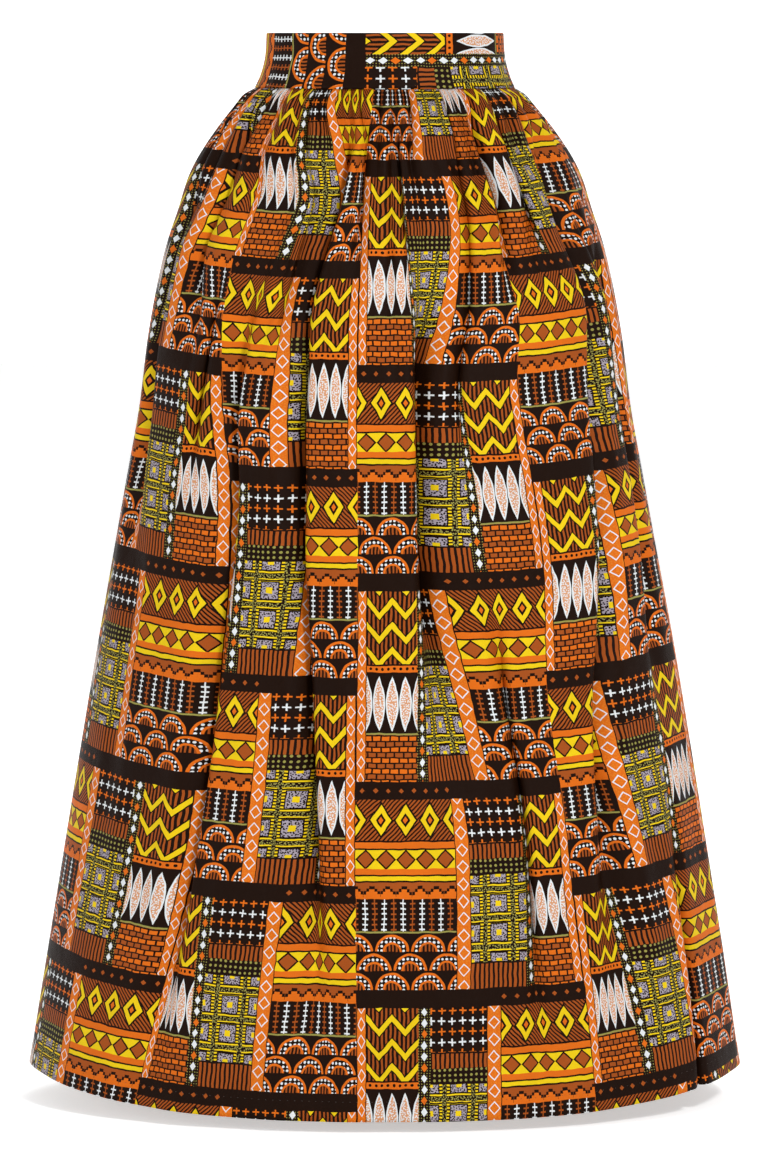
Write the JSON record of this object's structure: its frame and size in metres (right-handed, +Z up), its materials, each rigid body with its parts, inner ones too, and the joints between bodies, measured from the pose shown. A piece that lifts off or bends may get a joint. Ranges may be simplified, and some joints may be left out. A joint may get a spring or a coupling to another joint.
{
  "type": "maxi skirt",
  "caption": "Floor-length gathered skirt of printed cotton on a smooth fitted waistband, open at waist and hem, standing as it is worn.",
  "frame": {"origin": "middle of the waistband, half way up it, where the waist holds the skirt", "axes": "+X to the wearer's left, which is the right of the picture; -Y to the front; +Z up"},
  "size_m": [0.727, 0.47, 1.0732],
  "materials": {
    "print": "matt printed cotton, many colours",
    "zip_tape": "woven tape",
    "zip_metal": "dulled"
  },
  "bodies": {
    "skirt": {"waistband": "print", "skirt_front": "print", "skirt_back_left": "print", "skirt_back_right": "print", "zip_tape_left": "zip_tape", "zip_tape_right": "zip_tape", "zip_slider": "zip_metal"},
    "pull": {"zip_pull": "zip_metal"}
  },
  "joints": [
    {"name": "zip_pull_hinge", "type": "hinge", "parent": "skirt", "child": "pull", "pos_m": [0, 0.08966, 0.0185], "axis": [1, 0, 0], "range_deg": [0, 160]}
  ]
}
